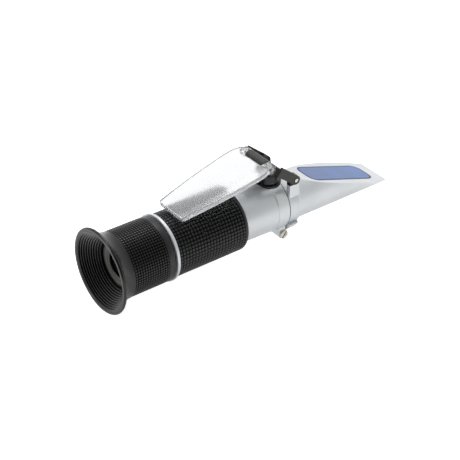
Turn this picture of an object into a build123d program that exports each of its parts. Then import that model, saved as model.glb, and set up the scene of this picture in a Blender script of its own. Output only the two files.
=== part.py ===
from build123d import *
import math
import os

# A handheld refractometer with a turning eyepiece, a rubber grip, a clamped prism housing
# and a clear daylight plate that swings over on a two-pivot bracket.
# The origin is the centre of the eyecup's open end. +X runs along the optical axis to the
# tip of the prism housing and +Z is up. Lengths are in millimetres, angles in degrees.

# Clearances
running_gap = 0.08
seat_gap = 0.05
moving_gap = 0.3

# Eyecup
rim_radius = 20.0
rim_lip = 1.5
rim_wall = 0.7
rim_rounding = 0.35
eyecup_length = 8.7
eyecup_neck_radius = 15.5
eyecup_throat_radius = 11.05
eyecup_flare_sag = 0.75
eyecup_skirt_length = 3.6
eyecup_ridges = 8
eyecup_ridge_depth = 0.35

# Focusing ring and its rubber sleeve
focus_grip_radius = 15.4
focus_grip_length = 21.5
focus_grip_rounding = 1.1
focus_ring_radius = 14.2
focus_spigot_radius = 13.0
focus_wall = 1.2
focus_travel = 4.0
focus_end_gap = 0.4

# Lens tube and its two lenses
tube_bore_radius = 9.6
tube_stop_radius = 8.6
tube_end_from_wall = 17.2
tube_shoulder_from_wall = 11.2
lens_edge = 2.2
lens_bulge_radius = 24.0
lens_aperture = 8.6
retainer_lip = 0.6
retainer_spigot = 1.4
eye_aperture = 6.4
guide_pin_radius = 1.0
guide_pin_reach = 13.4
guide_pin_from_shoulder = 2.5

# Body tube
neck_radius = 12.6
neck_bore_radius = 10.6
neck_start_gap = 0.8
flange_radius = 15.8
flange_width = 1.5
grip_radius = 15.0
grip_length = 38.5
grip_rounding = 1.4
barrel_length = 18.9
barrel_front_radius = 12.9
collar_radius = 13.2
collar_length = 5.9
collar_bore_radius = 10.3
collar_bore_length = 11.4

# Inner pieces of the body tube
reticle_mount_from_flange = 4.5
reticle_mount_length = 8.0
reticle_radius = 8.8
reticle_thickness = 1.6
reticle_view_radius = 7.6
baffle_from_flange = 28.0
baffle_thickness = 1.8
baffle_view_radius = 7.0
objective_cell_length = 7.0
objective_radius = 8.8
objective_view_radius = 7.8

# Joint between the collar and the prism housing
seam_width = 0.4
seam_inset = 0.25
spigot_length = 7.6
clamp_from_seam = 1.1
clamp_height = -12.4
clamp_boss_radius = 2.4
clamp_half_width = 10.3
clamp_slit = 1.0
clamp_screw_radius = 1.1
clamp_head_radius = 2.1
clamp_head_height = 0.8
screw_slot_width = 0.6

# Prism housing
ring_length = 6.7
ring_rounding = 1.2
chin_radius = 14.7
chin_length = 5.6
chin_angle = 62.0
nose_radius = 11.7
nose_length = 57.9
face_slope = 18.5
face_start_from_ring = 1.0
light_bore_radius = 7.5

# Prism window in the sloping face
window_length = 41.9
window_width = 14.2
window_from_top = 11.0
window_corner = 4.4
window_proud = 0.05
prism_floor = -8.0
seal_width = 0.4
seal_depth = 1.5
seal_gap = 0.03

# Calibration knob
knob_x = 92.0
knob_floor = 11.4
knob_base_radius = 6.0
knob_base_height = 1.5
knob_body_radius = 5.4
knob_height = 6.6
knob_flutes = 18
knob_flute_radius = 0.45
calibration_screw_radius = 2.0
calibration_screw_reach = 3.6

# Two-pivot bracket between the housing and the daylight plate
pivot_x = 98.6
pivot_z = 16.5
link_length = 15.57
link_angle = 144.7
lug_inner = 8.8
lug_thickness = 2.4
lug_radius = 2.3
arm_gap = 0.2
arm_thickness = 1.2
arm_half_width = 2.2
arm_reach = 12.3
arm_top_rise = 0.7
web_depth = 2.7
web_half_thickness = 1.8
tongue_half_width = 6.3
tongue_thickness = 3.0
barrel_knuckle_radius = 2.5
hinge_pin_radius = 0.9
hinge_pin_inset = 0.6
hinge_pin_proud = 0.2

# Daylight plate, drawn along the plate from its pivot
plate_length = 49.1
plate_thickness = 2.2
plate_slope = 12.45
plate_pivot_radius = 2.6
plate_tip_half_width = 8.8
plate_middle_half_width = 11.4
plate_middle_at = 30.0
plate_widest_half_width = 12.9
plate_widest_at = 6.1
plate_ear_half_width = 10.8
plate_notch_half_width = 6.6
plate_notch_depth = 3.1
plate_corner = 1.6
plate_pin_radius = 0.9

# Places along the optical axis that follow from the sizes above
focus_wall_x = eyecup_length + 0.6
focus_end_x = eyecup_length + focus_grip_length
flange_x = focus_end_x + focus_end_gap
grip_x = flange_x + flange_width
grip_end_x = grip_x + grip_length
collar_x = grip_end_x + barrel_length
seam_x = collar_x + collar_length
ring_x = seam_x + seam_width
ring_end_x = ring_x + ring_length
tip_x = ring_end_x + nose_length
neck_x = focus_wall_x + focus_wall + neck_start_gap
collar_bore_x = seam_x - collar_bore_length
tube_x = focus_wall_x + 0.5
tube_shoulder_x = tube_x + tube_shoulder_from_wall
tube_end_x = tube_x + tube_end_from_wall
guide_pin_x = tube_shoulder_x + guide_pin_from_shoulder
clamp_x = seam_x - clamp_from_seam
lens_radius = tube_bore_radius - seat_gap
inner_radius = neck_bore_radius - seat_gap
arm_inner = lug_inner + lug_thickness + arm_gap
arm_outer = arm_inner + arm_thickness


def turned(*corners):
    """A solid turned about the optical axis from its (x, radius) corners."""
    outline = Polyline([(x, 0, radius) for x, radius in corners], close=True)
    return revolve(make_face(outline), Axis.X)


def along_x(radius, start, end):
    """A round bar on the optical axis."""
    return Plane.YZ.offset(start) * extrude(Circle(radius), end - start)


def along_y(radius, x, z, start, end):
    """A round bar across the instrument at a place in the side view."""
    bar = Cylinder(radius, end - start, rotation=(90, 0, 0))
    return Pos(x, (start + end) / 2, z) * bar


def along_z(radius, x, start, end):
    """An upright round bar on the centre line."""
    return Pos(x, 0, (start + end) / 2) * Cylinder(radius, end - start)


def block(x, y, z):
    """A box from its (low, high) limits on each axis."""
    centre = [(low + high) / 2 for low, high in (x, y, z)]
    return Pos(*centre) * Box(x[1] - x[0], y[1] - y[0], z[1] - z[0])


def circles_at(solid, x, radius):
    """The round edges of a turned solid at one place along the axis."""
    rounds = solid.edges().filter_by(GeomType.CIRCLE)
    return [edge for edge in rounds if abs(edge.arc_center.X - x) < 0.01 and abs(edge.radius - radius) < 0.01]


def side_view(outline, start, end):
    """A plate cut to a closed side-view outline, from y = start to y = end."""
    return extrude(make_face(outline), end - start, dir=(0, 1, 0)).moved(Location((0, start, 0)))


def link_point(along, across):
    """The side-view point at a distance along the bracket's link and to its upper side."""
    angle = math.radians(link_angle)
    x = pivot_x + along * math.cos(angle) + across * math.sin(angle)
    z = pivot_z + along * math.sin(angle) - across * math.cos(angle)
    return (x, 0, z)


plate_pivot_x, _, plate_pivot_z = link_point(link_length, 0)
face_origin = (ring_end_x + face_start_from_ring, 0, nose_radius)
face_tangent = (math.cos(math.radians(face_slope)), 0, -math.sin(math.radians(face_slope)))
face_normal = (math.sin(math.radians(face_slope)), 0, math.cos(math.radians(face_slope)))
face_plane = Plane(origin=face_origin, x_dir=face_tangent, z_dir=face_normal)


def eyecup():
    """Rubber eyecup: a flared cup with ridges inside and a skirt under the focus sleeve."""
    skirt_end = eyecup_length + eyecup_skirt_length
    skirt_radius = focus_ring_radius - seat_gap
    spigot_radius = focus_spigot_radius + seat_gap
    mid_x = (rim_lip + eyecup_length) / 2
    mid_radius = (rim_radius + eyecup_neck_radius) / 2 - eyecup_flare_sag
    flare = ThreePointArc((rim_lip, 0, rim_radius), (mid_x, 0, mid_radius), (eyecup_length, 0, eyecup_neck_radius))
    base = [
        (eyecup_length, 0, eyecup_neck_radius),
        (eyecup_length, 0, skirt_radius),
        (skirt_end, 0, skirt_radius),
        (skirt_end, 0, spigot_radius),
        (focus_wall_x, 0, spigot_radius),
        (focus_wall_x, 0, eyecup_throat_radius),
    ]
    mouth_radius = rim_radius - rim_wall
    pitch_x = eyecup_length / eyecup_ridges
    pitch_radius = (mouth_radius - eyecup_throat_radius) / eyecup_ridges
    ridges = []
    for ridge in range(eyecup_ridges, 0, -1):
        radius = eyecup_throat_radius + pitch_radius * (eyecup_ridges - ridge)
        ridges.append((pitch_x * ridge, 0, radius))
        ridges.append((pitch_x * (ridge - 0.5), 0, radius + eyecup_ridge_depth))
    lip = [(0, 0, mouth_radius), (0, 0, rim_radius), (rim_lip, 0, rim_radius)]
    cup = revolve(make_face([flare, Polyline(base + ridges + lip)]), Axis.X)
    return fillet(circles_at(cup, rim_lip, rim_radius), rim_rounding)


def focus_ring():
    """Metal focusing ring with a front wall, an eyecup spigot and a groove for the guide pin."""
    bore = neck_radius + running_gap
    opening = neck_bore_radius + moving_gap - running_gap
    spigot_end = eyecup_length + eyecup_skirt_length
    groove_half = guide_pin_radius + running_gap
    groove_radius = guide_pin_reach + moving_gap
    return turned(
        (focus_wall_x, opening),
        (focus_wall_x, focus_spigot_radius),
        (spigot_end, focus_spigot_radius),
        (spigot_end, focus_ring_radius),
        (focus_end_x, focus_ring_radius),
        (focus_end_x, bore),
        (guide_pin_x + groove_half, bore),
        (guide_pin_x + groove_half, groove_radius),
        (guide_pin_x - groove_half, groove_radius),
        (guide_pin_x - groove_half, bore),
        (focus_wall_x + focus_wall, bore),
        (focus_wall_x + focus_wall, opening),
    )


def focus_grip():
    """Rubber sleeve on the focusing ring, with a rounded end next to the body flange."""
    start = eyecup_length
    sleeve = turned(
        (start, focus_ring_radius + seat_gap),
        (start, focus_grip_radius),
        (focus_end_x, focus_grip_radius),
        (focus_end_x, focus_ring_radius + seat_gap),
    )
    return fillet(circles_at(sleeve, focus_end_x, focus_grip_radius), focus_grip_rounding)


def lens_tube():
    """Sliding tube that holds both lenses against a shoulder."""
    outer = neck_bore_radius - running_gap
    tube = turned(
        (tube_x, tube_bore_radius),
        (tube_x, outer),
        (tube_end_x, outer),
        (tube_end_x, tube_stop_radius),
        (tube_shoulder_x, tube_stop_radius),
        (tube_shoulder_x, tube_bore_radius),
    )
    return tube - along_z(guide_pin_radius + 0.02, guide_pin_x, 0, rim_radius)


def guide_pin():
    """Pin that keys the lens tube to the neck's slot and the focusing ring's groove."""
    return along_z(guide_pin_radius, guide_pin_x, tube_stop_radius + 0.2, guide_pin_reach)


def lens_retaining_ring():
    """Ring that holds the eye lens in the tube, seen round the lens from the eyecup."""
    front = tube_x - retainer_lip
    back = tube_x + retainer_spigot
    ring = turned(
        (front, eye_aperture),
        (front, neck_bore_radius - 2 * running_gap),
        (tube_x, neck_bore_radius - 2 * running_gap),
        (tube_x, lens_radius),
        (back, lens_radius),
        (back, lens_aperture + 0.1),
        (front + 0.7, eye_aperture),
    )
    return ring


def convex_lens(edge_start, edge_end, radius, aperture, bulge_radius):
    """A lens with a flat rim, a flat back and a front that bulges towards the eye."""
    centre_x = edge_start + math.sqrt(bulge_radius**2 - aperture**2)
    half = aperture / 2
    middle = (centre_x - math.sqrt(bulge_radius**2 - half**2), 0, half)
    pole = (centre_x - bulge_radius, 0, 0)
    front = ThreePointArc(pole, middle, (edge_start, 0, aperture))
    rim = Polyline(
        (edge_start, 0, aperture),
        (edge_start, 0, radius),
        (edge_end, 0, radius),
        (edge_end, 0, 0),
        pole,
    )
    return revolve(make_face([front, rim]), Axis.X)


def ocular_lens():
    """Eye lens behind the retaining ring."""
    start = tube_x + retainer_spigot
    return convex_lens(start, start + lens_edge, lens_radius, lens_aperture, lens_bulge_radius)


def field_lens():
    """Second lens, on the tube's shoulder."""
    start = tube_shoulder_x - lens_edge
    return convex_lens(start, tube_shoulder_x, lens_radius, lens_aperture, lens_bulge_radius)


def lens_spacer():
    """Ring that keeps the two lenses apart."""
    start = tube_x + retainer_spigot + lens_edge
    end = tube_shoulder_x - lens_edge
    inner = lens_aperture + 0.05
    return turned((start, inner), (start, lens_radius), (end, lens_radius), (end, inner))


def body_tube():
    """Main casting: neck, flange, grip core, barrel and split collar with its clamp boss."""
    tube = turned(
        (neck_x, neck_bore_radius),
        (neck_x, neck_radius),
        (flange_x, neck_radius),
        (flange_x, flange_radius),
        (grip_x, flange_radius),
        (grip_x, neck_radius),
        (grip_end_x, neck_radius),
        (collar_x - 0.3, barrel_front_radius),
        (collar_x, collar_radius),
        (seam_x, collar_radius),
        (seam_x, collar_bore_radius),
        (collar_bore_x, collar_bore_radius),
        (collar_bore_x, neck_bore_radius),
    )
    tube = fillet(circles_at(tube, grip_x, flange_radius), 0.4)
    boss = along_y(clamp_boss_radius, clamp_x, clamp_height, -clamp_half_width, clamp_half_width)
    web_x = (clamp_x - clamp_boss_radius, seam_x)
    web = block(web_x, (-clamp_half_width, clamp_half_width), (clamp_height, -barrel_front_radius / 2))
    bore = along_x(collar_bore_radius, collar_bore_x, tip_x)
    tube += (boss + web) - bore
    slit_x = (collar_x - collar_length / 2, tip_x)
    tube -= block(slit_x, (-clamp_slit / 2, clamp_slit / 2), (-rim_radius, -barrel_front_radius / 2))
    tube -= along_y(
        clamp_screw_radius + seat_gap, clamp_x, clamp_height, -clamp_half_width, clamp_half_width
    )
    tube -= guide_slot()
    tube -= knob_well()
    return tube - along_z(calibration_screw_radius + running_gap, knob_x, 0, rim_radius)


def guide_slot():
    """Straight slot through the top of the neck for the guide pin's travel."""
    half = guide_pin_radius + running_gap
    front = guide_pin_x - focus_travel
    slot = block((front, guide_pin_x), (-half, half), (tube_stop_radius, rim_radius))
    for end in (front, guide_pin_x):
        slot += along_z(half, end, tube_stop_radius, rim_radius)
    return slot


def knob_well():
    """Round spot-face on top of the collar and housing ring, under the knob."""
    return along_z(knob_base_radius + moving_gap, knob_x, knob_floor, rim_radius)


def clamp_relief():
    """Room that the housing and gasket leave round the collar's clamp boss."""
    reach = clamp_half_width + 3.0
    bar = along_y(clamp_boss_radius + moving_gap, clamp_x, clamp_height, -reach, reach)
    return bar - along_x(collar_bore_radius, collar_bore_x, tip_x)


def main_grip():
    """Rubber sleeve round the middle of the body tube."""
    inner = neck_radius + seat_gap
    sleeve = turned((grip_x, inner), (grip_x, grip_radius), (grip_end_x, grip_radius), (grip_end_x, inner))
    return fillet(circles_at(sleeve, grip_end_x, grip_radius), grip_rounding)


def reticle_mount():
    """Ring in the bore with a seat for the scale glass."""
    start = grip_x + reticle_mount_from_flange
    end = start + reticle_mount_length
    seat = start + reticle_thickness
    return turned(
        (start, reticle_radius + seat_gap),
        (start, inner_radius),
        (end, inner_radius),
        (end, reticle_view_radius),
        (seat, reticle_view_radius),
        (seat, reticle_radius + seat_gap),
    )


def reticle():
    """Glass disc that carries the scale."""
    start = grip_x + reticle_mount_from_flange
    return along_x(reticle_radius, start, start + reticle_thickness)


def reticle_ring():
    """Thin ring that keeps the scale glass in its seat."""
    end = grip_x + reticle_mount_from_flange
    start = end - 1.0
    return turned(
        (start, reticle_view_radius),
        (start, inner_radius),
        (end, inner_radius),
        (end, reticle_view_radius),
    )


def light_baffle():
    """Blackened ring that stops stray light in the barrel."""
    start = grip_x + baffle_from_flange
    end = start + baffle_thickness
    return turned((start, baffle_view_radius + 0.9), (start, inner_radius), (end, inner_radius), (end, baffle_view_radius))


def objective_cell():
    """Lens cell against the step behind the collar."""
    start = collar_bore_x - objective_cell_length
    seat = start + lens_edge + 1.0
    return turned(
        (start, objective_radius + seat_gap),
        (start, inner_radius),
        (collar_bore_x, inner_radius),
        (collar_bore_x, objective_view_radius),
        (seat, objective_view_radius),
        (seat, objective_radius + seat_gap),
    )


def objective_lens():
    """Lens that forms the image of the shadow line on the scale."""
    end = collar_bore_x - objective_cell_length + lens_edge + 1.0
    return convex_lens(end - lens_edge, end, objective_radius, objective_view_radius, lens_bulge_radius)


def seam_gasket():
    """Thin black gasket between the collar and the prism housing."""
    outer = collar_radius - seam_inset
    inner = collar_bore_radius + seat_gap
    ring = turned((seam_x, inner), (seam_x, outer), (ring_x, outer), (ring_x, inner))
    return ring - knob_well() - clamp_relief()


def face_cutter():
    """Everything above the sloping face."""
    height = 4 * rim_radius
    return face_plane * Pos(0, 0, height / 2) * Box(4 * nose_length, height, height)


def window_outline(margin):
    """Rounded outline of the prism window in the sloping face, grown by a margin."""
    centre = Pos(window_from_top + window_length / 2, 0)
    sketch = RectangleRounded(window_length + 2 * margin, window_width + 2 * margin, window_corner + margin)
    return face_plane * centre * sketch


def window_block(margin, above):
    """The window outline as a deep block, from above the face down to the prism floor."""
    depth = 2 * rim_radius
    deep = extrude(window_outline(margin), -depth)
    deep += extrude(window_outline(margin), above)
    floor = block((ring_x, 2 * tip_x), (-rim_radius, rim_radius), (-4 * rim_radius, prism_floor))
    return deep - floor


def prism_limits(margin):
    """Upright rear end and front end of the prism, as a box."""
    rear = face_plane.from_local_coords((window_from_top, 0, 0)).X - margin
    front = face_plane.from_local_coords((window_from_top + window_length, 0, 0)).X + margin
    return block((rear, front), (-rim_radius, rim_radius), (prism_floor, rim_radius))


def prism():
    """Measuring prism: the sloping top is the measuring face, its upright rear faces the lenses."""
    return window_block(0, window_proud) & prism_limits(0)


def prism_seal():
    """Cement line round the top edge of the prism."""
    frame = window_outline(seal_width - seal_gap) - window_outline(seal_gap)
    return extrude(frame, -seal_depth) & prism_limits(seal_width - seal_gap)


def housing_lug(side):
    """Ear on the housing ring that carries one pin of the bracket."""
    inner = side * lug_inner
    outer = side * (lug_inner + lug_thickness)
    low = min(inner, outer)
    high = max(inner, outer)
    base_half = ring_length / 2 - 0.4
    base_x = (ring_x + ring_end_x) / 2
    base_z = collar_radius / 2
    ear = along_y(lug_radius, pivot_x, pivot_z, low, high)
    foot = Polyline(
        (base_x - base_half, 0, base_z),
        (base_x + base_half, 0, base_z),
        (base_x + base_half, 0, base_z + 2),
        (pivot_x + lug_radius, 0, pivot_z),
        (pivot_x - lug_radius, 0, pivot_z),
        (base_x - base_half, 0, base_z + 2),
        close=True,
    )
    ear += side_view(foot, low, high)
    pin = along_y(hinge_pin_radius + 0.02, pivot_x, pivot_z, low - 1, high + 1)
    return ear - pin


def chin():
    """Thicker lower part of the housing ring, in line with the clamp boss."""
    pad = along_x(chin_radius, ring_x, ring_x + chin_length)
    reach = chin_radius * math.sin(math.radians(chin_angle))
    low = -chin_radius * math.cos(math.radians(chin_angle))
    pad &= block((ring_x, tip_x), (-reach, reach), (-rim_radius, low))
    ends = pad.edges().filter_by(GeomType.CIRCLE).sort_by(Axis.X)
    return fillet(ends[-1], ring_rounding)


def prism_housing():
    """Housing: a spigot for the collar, a ring with two ears, and a nose cut to the sloping face."""
    nose = along_x(nose_radius, ring_x, tip_x) - face_cutter()
    ring = turned((ring_x, 0), (ring_x, collar_radius), (ring_end_x, collar_radius), (ring_end_x, 0))
    ring = fillet(circles_at(ring, ring_end_x, collar_radius), ring_rounding)
    housing = ring + chin() + nose - clamp_relief()
    for side in (-1, 1):
        housing += housing_lug(side)
    housing += along_x(collar_bore_radius - seat_gap, ring_x - spigot_length, ring_x)
    prism_rear = face_plane.from_local_coords((window_from_top, 0, 0)).X
    housing -= along_x(light_bore_radius, ring_x - spigot_length, prism_rear)
    housing -= window_block(seal_width, window_proud) & prism_limits(seal_width)
    housing -= knob_well()
    return housing - along_z(calibration_screw_radius + moving_gap, knob_x, 0, rim_radius)


def hinge_pin(side):
    """Short pin pressed in a housing ear, on which a bracket arm turns."""
    inner = side * (lug_inner + hinge_pin_inset)
    outer = side * (arm_outer + hinge_pin_proud)
    return along_y(hinge_pin_radius, pivot_x, pivot_z, min(inner, outer), max(inner, outer))


def clamp_screw():
    """Slotted screw that draws the split collar together."""
    head_y = -clamp_half_width - clamp_head_height
    screw = along_y(clamp_screw_radius, clamp_x, clamp_height, -clamp_half_width, clamp_half_width - 0.4)
    screw += along_y(clamp_head_radius, clamp_x, clamp_height, head_y, -clamp_half_width)
    slot = Box(screw_slot_width, clamp_head_height, 3 * clamp_head_radius)
    return screw - Pos(clamp_x, head_y, clamp_height) * Rot(0, 40, 0) * slot


def calibration_knob():
    """Fluted knob with a wider base, in its round well on top of the collar."""
    base_z = knob_floor + running_gap
    top_z = base_z + knob_height
    knob = along_z(knob_base_radius, knob_x, base_z, base_z + knob_base_height)
    knob += along_z(knob_body_radius, knob_x, base_z, top_z)
    flute = Pos(knob_body_radius, 0, (base_z + knob_base_height + top_z) / 2 + 0.01)
    flute *= Cylinder(knob_flute_radius, top_z - base_z - knob_base_height + 0.02)
    for turn in range(knob_flutes):
        knob -= Pos(knob_x, 0, 0) * Rot(0, 0, turn * 360 / knob_flutes) * flute
    return knob


def calibration_screw():
    """Screw under the knob that passes through the collar."""
    base_z = knob_floor + running_gap
    return along_z(calibration_screw_radius, knob_x, base_z - calibration_screw_reach, base_z)


def hinge_bracket():
    """U-shaped bracket: two arms on the housing ears, a web, and a knuckle for the plate's pin."""
    web_start = arm_reach - web_depth
    arm = Polyline(
        link_point(0, arm_half_width),
        link_point(arm_reach, arm_half_width + arm_top_rise),
        link_point(arm_reach, -web_half_thickness),
        link_point(0, -arm_half_width),
        close=True,
    )
    bracket = None
    for low, high in ((-arm_outer, -arm_inner), (arm_inner, arm_outer)):
        plate = side_view(arm, low, high) + along_y(arm_half_width, pivot_x, pivot_z, low, high)
        bracket = plate if bracket is None else bracket + plate
    web = Polyline(
        link_point(web_start, web_half_thickness),
        link_point(arm_reach, web_half_thickness),
        link_point(arm_reach, -web_half_thickness),
        link_point(web_start, -web_half_thickness),
        close=True,
    )
    bracket += side_view(web, -arm_outer, arm_outer)
    tongue = Polyline(
        link_point(arm_reach - 0.5, tongue_thickness / 2),
        link_point(link_length, tongue_thickness / 2),
        link_point(link_length, -tongue_thickness / 2),
        link_point(arm_reach - 0.5, -tongue_thickness / 2),
        close=True,
    )
    bracket += side_view(tongue, -tongue_half_width, tongue_half_width)
    bracket += along_y(
        barrel_knuckle_radius, plate_pivot_x, plate_pivot_z, -tongue_half_width, tongue_half_width
    )
    reach = arm_outer + 1
    bracket -= along_y(hinge_pin_radius + running_gap, pivot_x, pivot_z, -reach, reach)
    return bracket - along_y(plate_pin_radius + 0.02, plate_pivot_x, plate_pivot_z, -reach, reach)


def plate_pin():
    """Pin through the bracket's knuckle and the plate's two ears."""
    end = plate_ear_half_width - 0.4
    return along_y(plate_pin_radius, plate_pivot_x, plate_pivot_z, -end, end)


def daylight_plate():
    """Clear plate in its open place, with two ears and a notch for the bracket's knuckle."""
    half = [
        (-plate_length, plate_tip_half_width),
        (-plate_middle_at, plate_middle_half_width),
        (-plate_widest_at, plate_widest_half_width),
    ]
    near = Spline([(u, -v) for u, v in half])
    far = Spline(half)
    rest = [
        (-plate_widest_at, plate_widest_half_width),
        (0, plate_ear_half_width),
        (0, plate_notch_half_width),
        (-plate_notch_depth, plate_notch_half_width),
    ]
    ears = Polyline(rest + [(u, -v) for u, v in reversed(rest)])
    tip = Line((-plate_length, -plate_tip_half_width), (-plate_length, plate_tip_half_width))
    sheet = make_face([near, far, ears, tip])
    corners = sheet.vertices().group_by(Axis.X)[0]
    sheet = fillet(corners, plate_corner)
    plate = Pos(0, 0, plate_pivot_radius - plate_thickness) * extrude(sheet, plate_thickness)
    knuckle = Cylinder(plate_pivot_radius, 2 * plate_ear_half_width, rotation=(90, 0, 0))
    knuckle -= Box(3 * plate_pivot_radius, 2 * plate_notch_half_width, 3 * plate_pivot_radius)
    plate += knuckle
    plate -= Cylinder(plate_pin_radius + running_gap, 4 * plate_ear_half_width, rotation=(90, 0, 0))
    return Pos(plate_pivot_x, 0, plate_pivot_z) * Rot(0, -plate_slope, 0) * plate


pieces = {
    "eyecup": eyecup(),
    "focus_ring": focus_ring(),
    "focus_grip": focus_grip(),
    "lens_tube": lens_tube(),
    "guide_pin": guide_pin(),
    "lens_retaining_ring": lens_retaining_ring(),
    "ocular_lens": ocular_lens(),
    "lens_spacer": lens_spacer(),
    "field_lens": field_lens(),
    "body_tube": body_tube(),
    "main_grip": main_grip(),
    "reticle_ring": reticle_ring(),
    "reticle": reticle(),
    "reticle_mount": reticle_mount(),
    "light_baffle": light_baffle(),
    "objective_cell": objective_cell(),
    "objective_lens": objective_lens(),
    "seam_gasket": seam_gasket(),
    "prism_housing": prism_housing(),
    "prism": prism(),
    "prism_seal": prism_seal(),
    "clamp_screw": clamp_screw(),
    "calibration_knob": calibration_knob(),
    "calibration_screw": calibration_screw(),
    "hinge_pin_near": hinge_pin(-1),
    "hinge_pin_far": hinge_pin(1),
    "hinge_bracket": hinge_bracket(),
    "plate_pin": plate_pin(),
    "daylight_plate": daylight_plate(),
}

os.makedirs("parts", exist_ok=True)
for name, piece in pieces.items():
    export_step(piece, f"parts/{name}.step")
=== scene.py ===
# %% [markdown]
# A handheld refractometer is an optical tool with a rubber eyepiece at one end and a glass
# prism at the other. A drop of liquid goes on the prism, a clear plate is folded over it, and
# a scale is read through the eyepiece. This file dresses the tool's working model for a
# studio picture. The model comes in as a fixed frame of real pieces, in metres, with +X along
# the optical axis from the eyecup to the prism tip and +Z up. Most pieces keep their mesh and
# get a finish. Five need finer shapes, so they are modelled here and ride on the bodies of
# that frame, and they move with its joints.

# %% Load the frame
import math
import bpy
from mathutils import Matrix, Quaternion, Vector


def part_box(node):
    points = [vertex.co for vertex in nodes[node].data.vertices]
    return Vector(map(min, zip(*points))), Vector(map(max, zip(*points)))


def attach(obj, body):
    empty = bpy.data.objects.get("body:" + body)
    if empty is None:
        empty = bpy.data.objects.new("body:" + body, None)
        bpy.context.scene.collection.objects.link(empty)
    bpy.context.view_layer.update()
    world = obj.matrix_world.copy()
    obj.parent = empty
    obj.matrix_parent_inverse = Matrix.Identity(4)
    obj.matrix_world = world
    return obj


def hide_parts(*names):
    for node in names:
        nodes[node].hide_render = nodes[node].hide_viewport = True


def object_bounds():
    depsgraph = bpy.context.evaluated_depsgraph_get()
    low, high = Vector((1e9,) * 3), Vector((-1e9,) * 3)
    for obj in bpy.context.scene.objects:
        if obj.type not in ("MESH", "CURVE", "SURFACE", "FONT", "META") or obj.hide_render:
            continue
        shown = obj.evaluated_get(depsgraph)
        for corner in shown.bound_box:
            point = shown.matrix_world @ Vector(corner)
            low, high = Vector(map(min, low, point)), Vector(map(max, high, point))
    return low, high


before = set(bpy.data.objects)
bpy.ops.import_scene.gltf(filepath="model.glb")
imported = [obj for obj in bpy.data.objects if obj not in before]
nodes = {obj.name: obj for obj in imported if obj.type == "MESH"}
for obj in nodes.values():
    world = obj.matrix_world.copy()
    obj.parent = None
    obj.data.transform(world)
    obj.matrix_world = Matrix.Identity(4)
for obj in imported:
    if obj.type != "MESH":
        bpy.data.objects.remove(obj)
cad_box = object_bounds()

# %% [markdown]
# Sizes are easier to think about in millimetres, while Blender's unit here is the metre. One
# factor turns one into the other, and the places of the main pieces are read from the frame,
# so nothing has to be fitted by eye.

# %% Millimetres and places read from the frame
MM = 0.001


def span_x(node):
    """The start and end of a node along the optical axis."""
    low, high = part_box(node)
    return low.x, high.x


def outer_radius(node):
    """The radius of a turned node, from its width."""
    low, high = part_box(node)
    return (high.y - low.y) / 2


_, eyecup_end = span_x("eyecup")
sleeve_start, sleeve_end = span_x("focus_grip")
grip_start, grip_end = span_x("main_grip")
print("sleeve", round(sleeve_end - sleeve_start, 4), "grip", round(grip_end - grip_start, 4))

# %% [markdown]
# The photograph was taken with a long lens from the left, above the eyecup. The camera stands
# about 0.6 m away and is rolled by a degree. A constraint could aim it, but it would stay in
# the scene as a live link. So a tracking quaternion aims it once, and a turn about its own
# axis gives the roll.

# %% Camera
camera_place = Vector((-232.95, -388.84, 328.33)) * MM
camera_aim = Vector((62.52, -10.64, 2.66)) * MM
camera_roll = math.radians(1.14)
camera_lens = 101.74

camera_data = bpy.data.cameras.new("camera")
camera_data.lens = camera_lens
camera_data.sensor_width = 36.0
camera_data.dof.use_dof = False
camera = bpy.data.objects.new("camera", camera_data)
bpy.context.collection.objects.link(camera)
camera.location = camera_place
camera.rotation_mode = "QUATERNION"
aimed = (camera_aim - camera_place).to_track_quat("-Z", "Y")
camera.rotation_quaternion = aimed @ Quaternion((0, 0, 1), camera_roll)
bpy.context.scene.camera = camera
print("camera at", tuple(round(v, 3) for v in camera.location))

# %% [markdown]
# Colours are written as the hex values a painter would pick on a screen. The shader works in
# linear light, so one function turns each hex value into linear numbers. A material is a tree
# of nodes, and one more function adds any node to it, whatever its kind: its inputs are given
# by name, and each is a value or the node that feeds it.

# %% Colour and node helpers
def paint(code):
    """The linear colour of an sRGB hex value."""
    channels = [int(code[i:i + 2], 16) / 255 for i in (1, 3, 5)]
    linear = [c / 12.92 if c <= 0.04045 else ((c + 0.055) / 1.055) ** 2.4 for c in channels]
    return (*linear, 1.0)


def add(tree, kind, settings=None, **inputs):
    """Adds one node. An input's name has _ for each space, or is _0, _1 and so on by number."""
    node = tree.nodes.new(kind)
    for name, value in (settings or {}).items():
        setattr(node, name, value)
    for name, value in inputs.items():
        socket = node.inputs[int(name[1:])] if name[0] == "_" else node.inputs[name.replace("_", " ")]
        source = value.outputs[0] if isinstance(value, bpy.types.Node) else value
        if isinstance(source, bpy.types.NodeSocket):
            tree.links.new(source, socket)
        else:
            socket.default_value = source
    return node


# %% [markdown]
# Every finish here is built alike. A pattern is laid over the piece in its own coordinates, so
# it stays put when a joint moves, and its scale comes from the size of its spots on the real
# thing. One pattern moves the colour a little between two paints, and the same or a finer one
# moves the roughness and lifts the surface.

# %% Helpers for every finish
def finish_named(name):
    """A new material, its empty node tree and the coordinates that its patterns read."""
    material = bpy.data.materials.new(name)
    material.use_nodes = True
    material.node_tree.nodes.clear()
    place = material.node_tree.nodes.new("ShaderNodeTexCoord").outputs["Object"]
    print("finish", name)
    return material, material.node_tree, place


def scale_of(size_mm):
    """The texture scale that makes spots of about one size, in millimetres."""
    return 1 / (size_mm * MM)


def mottle(tree, pattern, dark, light, start=0.3, end=0.7):
    """A colour that goes from dark to light while a pattern goes from its start to its end."""
    share = add(tree, "ShaderNodeMapRange", Value=pattern, From_Min=start, From_Max=end)
    return add(tree, "ShaderNodeMixRGB", Fac=share, Color1=paint(dark), Color2=paint(light))


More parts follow.
